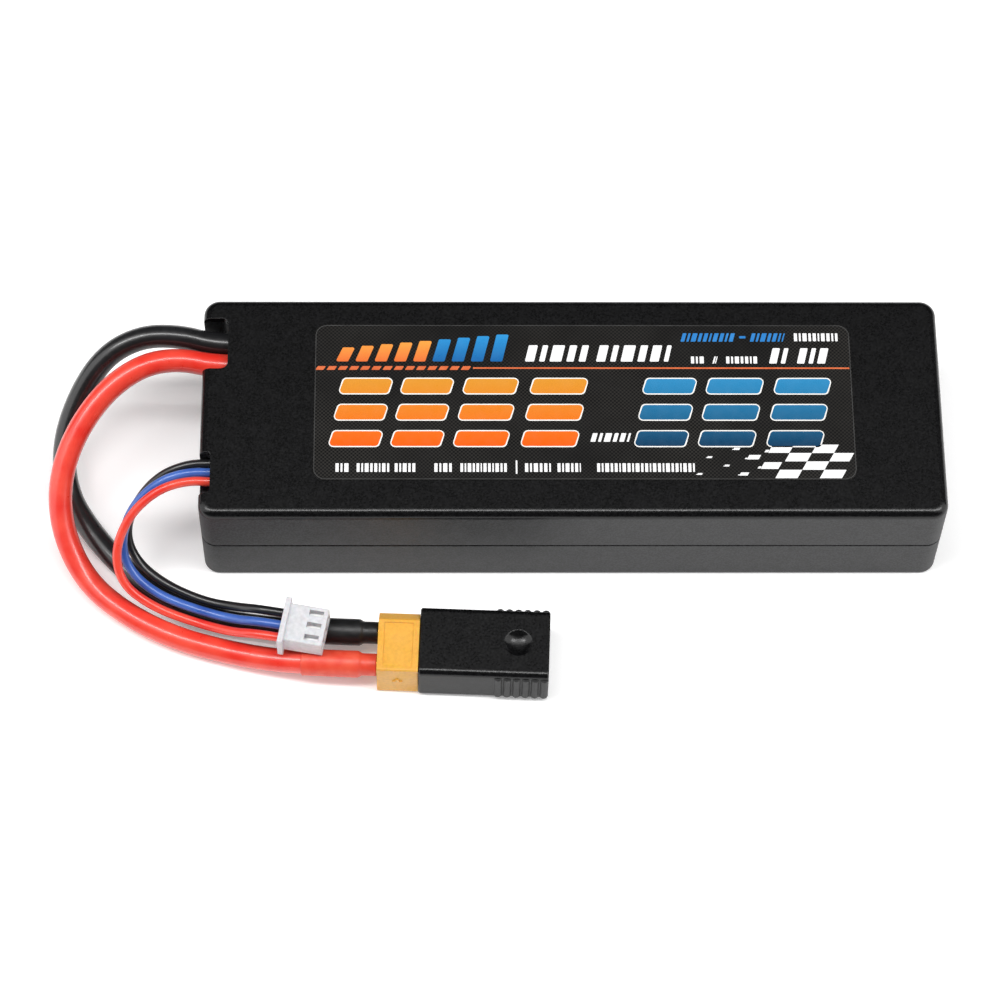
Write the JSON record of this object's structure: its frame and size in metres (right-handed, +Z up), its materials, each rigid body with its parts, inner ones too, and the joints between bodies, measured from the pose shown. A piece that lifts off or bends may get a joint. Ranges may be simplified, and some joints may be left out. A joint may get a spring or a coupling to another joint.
{
  "type": "lipo battery pack",
  "caption": "Flat hard-case rechargeable battery pack with two power leads, a main plug wearing a push-on adapter, and a small balance lead and plug.",
  "frame": {"origin": "middle of the underside of the case, on the surface it stands on", "axes": "+X along the case, away from the end that the leads leave; +Y across the case, away from the side where the plugs lie; +Z up, through the label"},
  "size_m": [0.1671, 0.0724, 0.0242],
  "materials": {
    "case_plastic": "fine-grained moulded black plastic",
    "label_print": null,
    "pouch_foil": "dull aluminium laminate pouch",
    "double_tape": "thin clear double-sided tape",
    "foam": "closed-cell foam sheet",
    "tab_aluminium": "plain aluminium strip",
    "tab_nickel": "nickel-plated strip",
    "board_laminate": "glass-fibre circuit board",
    "insulating_film": "amber insulating film",
    "silicone_black": "glossy soft silicone",
    "silicone_red": "glossy soft silicone",
    "silicone_blue": "glossy soft silicone",
    "shrink_black": "satin heat shrink",
    "shrink_red": "satin heat shrink",
    "nylon_amber": "slightly translucent amber nylon",
    "nylon_white": "natural white nylon",
    "adapter_plastic": "fine-textured black nylon",
    "gold_contact": "gold-plated brass",
    "tinned_contact": "tin-plated brass"
  },
  "bodies": {
    "pack": {"top_shell": "case_plastic", "bottom_shell": "case_plastic", "label": "label_print", "cell_lower": "pouch_foil", "cell_upper": "pouch_foil", "cell_tape": "double_tape", "bottom_pad": "foam", "top_pad": "foam", "end_pad": "foam", "cell_tab_lower_positive": "tab_aluminium", "cell_tab_lower_negative": "tab_nickel", "cell_tab_upper_positive": "tab_aluminium", "cell_tab_upper_negative": "tab_nickel", "tab_board": "board_laminate", "board_insulator": "insulating_film", "power_lead_negative": "silicone_black", "power_lead_positive": "silicone_red", "balance_lead_negative": "silicone_black", "balance_lead_middle": "silicone_blue", "balance_lead_positive": "silicone_red", "balance_plug_housing": "nylon_white", "balance_contact_negative": "tinned_contact", "balance_contact_middle": "tinned_contact", "balance_contact_positive": "tinned_contact", "heat_shrink_negative": "shrink_black", "heat_shrink_positive": "shrink_red", "main_plug_housing": "nylon_amber", "main_socket_negative": "gold_contact", "main_socket_positive": "gold_contact"},
    "adapter": {"adapter_body": "adapter_plastic", "adapter_pin_negative": "gold_contact", "adapter_pin_positive": "gold_contact", "adapter_blade_negative": "tinned_contact", "adapter_blade_positive": "tinned_contact"}
  },
  "joints": [
    {"name": "adapter_slide", "type": "slide", "parent": "pack", "child": "adapter", "axis": [0.9993, -0.0384, 0], "range_m": [0, 0.012]}
  ]
}
